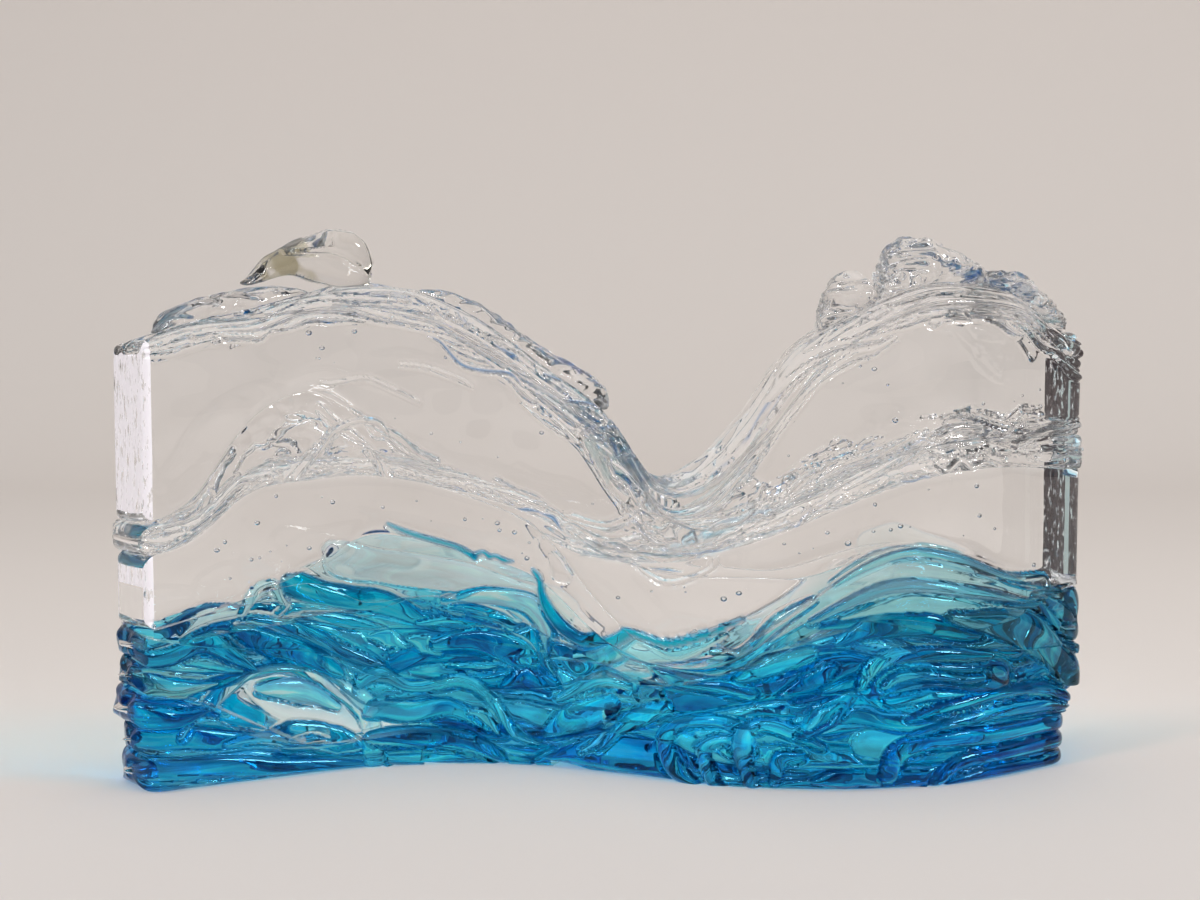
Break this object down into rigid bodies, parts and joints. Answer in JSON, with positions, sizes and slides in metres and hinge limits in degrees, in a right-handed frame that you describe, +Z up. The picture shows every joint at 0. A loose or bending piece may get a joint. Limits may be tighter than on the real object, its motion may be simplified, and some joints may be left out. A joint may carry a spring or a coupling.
{
  "type": "glass wave sculpture",
  "caption": "Free-standing wall of poured glass in an S bend, blue folds below and clear waves above, ending in two crests.",
  "frame": {"origin": "on the floor, at the middle of the line between the wall's two ends", "axes": "+X along the wall, left to right as seen from the front; the front faces -Y; +Z up"},
  "size_m": [0.398, 0.114, 0.2233],
  "materials": {
    "clear_glass": "fire-polished, clear",
    "turquoise_glass": "fire-polished, pale turquoise",
    "blue_glass": "fire-polished, streaked blue",
    "deep_blue_glass": "fire-polished, deep blue",
    "teal_glass": "fire-polished, grey teal"
  },
  "bodies": {
    "root": {"arch_trail": "blue_glass", "base_fold_left": "deep_blue_glass", "base_fold_middle": "blue_glass", "base_fold_right": "deep_blue_glass", "big_loop_left": "blue_glass", "big_loop_right": "blue_glass", "clear_window": "clear_glass", "crest_block_right": "clear_glass", "crest_lump_left": "clear_glass", "crest_peak_right": "clear_glass", "crest_tip_right": "clear_glass", "curl": "clear_glass", "eye_fold": "deep_blue_glass", "inner_wave": "clear_glass", "leaf_fold": "blue_glass", "left_fold_four": "teal_glass", "left_fold_three": "deep_blue_glass", "left_fold_two": "deep_blue_glass", "left_slope_trail": "clear_glass", "lower_clear_left": "clear_glass", "lower_clear_right": "clear_glass", "middle_fold_three": "blue_glass", "middle_fold_two": "blue_glass", "middle_trail_left": "clear_glass", "middle_trail_right": "clear_glass", "pale_veil_left": "turquoise_glass", "right_fold_three": "blue_glass", "right_fold_two": "blue_glass", "right_slope_trail": "clear_glass", "right_top_nose": "teal_glass", "rounded_fold": "blue_glass", "rounded_trail": "clear_glass", "smooth_band": "blue_glass", "swirl_fold": "blue_glass", "teal_trail": "teal_glass", "turquoise_left": "turquoise_glass", "turquoise_right": "turquoise_glass", "upper_clear_left": "clear_glass", "upper_clear_right": "clear_glass", "valley_pool": "clear_glass", "veil_crest_right": "turquoise_glass", "veil_curl_left": "turquoise_glass", "wave_body_left": "blue_glass"}
  },
  "joints": []
}
